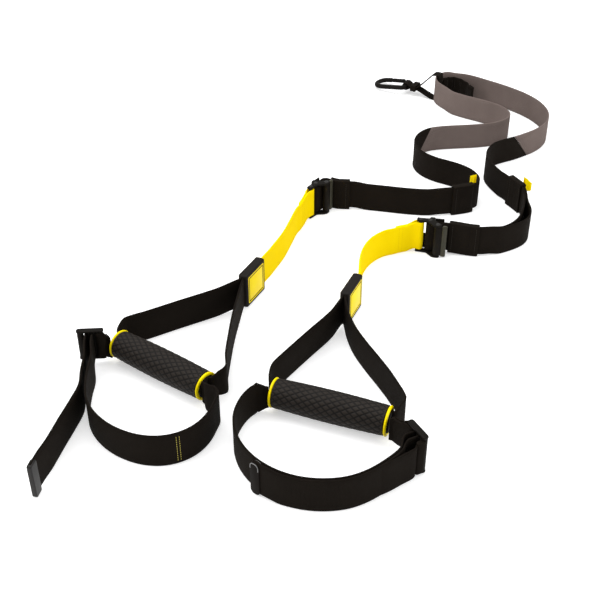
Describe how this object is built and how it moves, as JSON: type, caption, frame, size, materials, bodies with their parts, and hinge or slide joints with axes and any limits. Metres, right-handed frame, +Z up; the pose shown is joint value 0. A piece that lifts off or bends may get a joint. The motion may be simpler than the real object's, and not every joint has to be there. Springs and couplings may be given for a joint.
{
  "type": "suspension trainer",
  "caption": "Strap-and-handle suspension trainer laid out on the floor, with cam buckles, foot cradles and a carabiner.",
  "frame": {"origin": "bottom centre of the bounding box of the laid-out trainer, on the floor it lies on", "axes": "+Z up, the webbing stands on edge along it; +Y from the handles toward the carabiner; +X to the right seen from the handles"},
  "size_m": [0.6216, 0.9754, 0.0459],
  "materials": {
    "gray_webbing": "woven, matt",
    "black_webbing": "woven, matt",
    "yellow_webbing": "woven, matt",
    "dark_metal": "satin dark coating",
    "steel": "bare",
    "black_rubber": "matt moulded",
    "black_plastic": "matt",
    "yellow_plastic": "smooth matt"
  },
  "bodies": {
    "straps": {"center_strap": "gray_webbing", "left_strap": "black_webbing", "right_strap": "black_webbing", "left_keeper": "black_webbing", "right_keeper": "black_webbing", "left_buckle_sleeve": "black_webbing", "right_buckle_sleeve": "black_webbing", "left_pull_tab": "yellow_webbing", "right_pull_tab": "yellow_webbing", "anchor_loop": "black_webbing", "anchor_wrap": "black_webbing", "equalizer_pad": "black_webbing", "left_buckle_frame": "dark_metal", "right_buckle_frame": "dark_metal", "left_cam_pin": "steel", "right_cam_pin": "steel", "left_cam_spring": "steel", "right_cam_spring": "steel", "left_eye_bar": "steel", "right_eye_bar": "steel", "left_strap_bar": "steel", "right_strap_bar": "steel"},
    "carabiner": {"carabiner_body": "dark_metal", "gate_pin": "steel"},
    "gate": {"carabiner_gate": "dark_metal", "gate_plunger": "steel"},
    "left_lever": {"left_cam_lever": "dark_metal"},
    "right_lever": {"right_cam_lever": "dark_metal"},
    "left_handle": {"left_yellow_strap": "yellow_webbing", "left_tag_housing": "black_rubber", "left_tag_plate": "yellow_plastic", "left_handle_strap": "black_webbing"},
    "right_handle": {"right_yellow_strap": "yellow_webbing", "right_tag_housing": "black_rubber", "right_tag_plate": "yellow_plastic", "right_handle_strap": "black_webbing"},
    "left_grip": {"left_grip_core": "black_plastic", "left_grip_rubber": "black_rubber", "left_grip_outer_ring": "yellow_plastic", "left_grip_inner_ring": "yellow_plastic"},
    "right_grip": {"right_grip_core": "black_plastic", "right_grip_rubber": "black_rubber", "right_grip_outer_ring": "yellow_plastic", "right_grip_inner_ring": "yellow_plastic"},
    "left_cradle": {"left_cradle_strap": "black_webbing", "left_cradle_slider": "dark_metal", "left_slider_web": "black_webbing", "left_end_clip": "black_plastic"},
    "right_cradle": {"right_cradle_strap": "black_webbing", "right_cradle_slider": "dark_metal", "right_slider_web": "black_webbing", "right_end_clip": "black_plastic"}
  },
  "joints": [
    {"name": "carabiner_swing", "type": "hinge", "parent": "straps", "child": "carabiner", "pos_m": [0.11246, 0.44872, 0.01257], "axis": [0.5017, 0.8651, 0], "range_deg": [0, 100]},
    {"name": "gate_open", "type": "hinge", "parent": "carabiner", "child": "gate", "pos_m": [0.10833, 0.4695, 0.01072], "axis": [-0.1129, 0.0655, 0.9914], "range_deg": [0, 24], "stiffness_Nm_per_rad": 0.02, "springref_deg": -20.05},
    {"name": "left_lever_open", "type": "hinge", "parent": "straps", "child": "left_lever", "pos_m": [-0.03069, 0.05056, 0.02297], "axis": [0, 0, -1], "range_deg": [0, 45], "stiffness_Nm_per_rad": 0.03, "springref_deg": -22.92},
    {"name": "right_lever_open", "type": "hinge", "parent": "straps", "child": "right_lever", "pos_m": [0.10389, -0.05915, 0.02297], "axis": [0, 0, -1], "range_deg": [0, 45], "stiffness_Nm_per_rad": 0.03, "springref_deg": -22.92},
    {"name": "left_handle_swing", "type": "hinge", "parent": "straps", "child": "left_handle", "pos_m": [-0.05133, 0.03816, 0.01907], "axis": [0, 0, -1], "range_deg": [0, 35]},
    {"name": "right_handle_swing", "type": "hinge", "parent": "straps", "child": "right_handle", "pos_m": [0.08417, -0.04534, 0.01907], "axis": [0, 0, 1], "range_deg": [0, 35]},
    {"name": "left_grip_roll", "type": "hinge", "parent": "left_handle", "child": "left_grip", "pos_m": [-0.20973, -0.29904, 0.01907], "axis": [0.81, -0.5864, 0], "continuous": true},
    {"name": "right_grip_roll", "type": "hinge", "parent": "right_handle", "child": "right_grip", "pos_m": [-0.03533, -0.36584, 0.01907], "axis": [0.9342, -0.3567, 0], "continuous": true},
    {"name": "left_cradle_swing", "type": "hinge", "parent": "left_handle", "child": "left_cradle", "pos_m": [-0.20973, -0.29904, 0.01907], "axis": [-0.81, 0.5864, 0], "range_deg": [0, 48]},
    {"name": "right_cradle_swing", "type": "hinge", "parent": "right_handle", "child": "right_cradle", "pos_m": [-0.03533, -0.36584, 0.01907], "axis": [-0.9342, 0.3567, 0], "range_deg": [0, 48]}
  ]
}
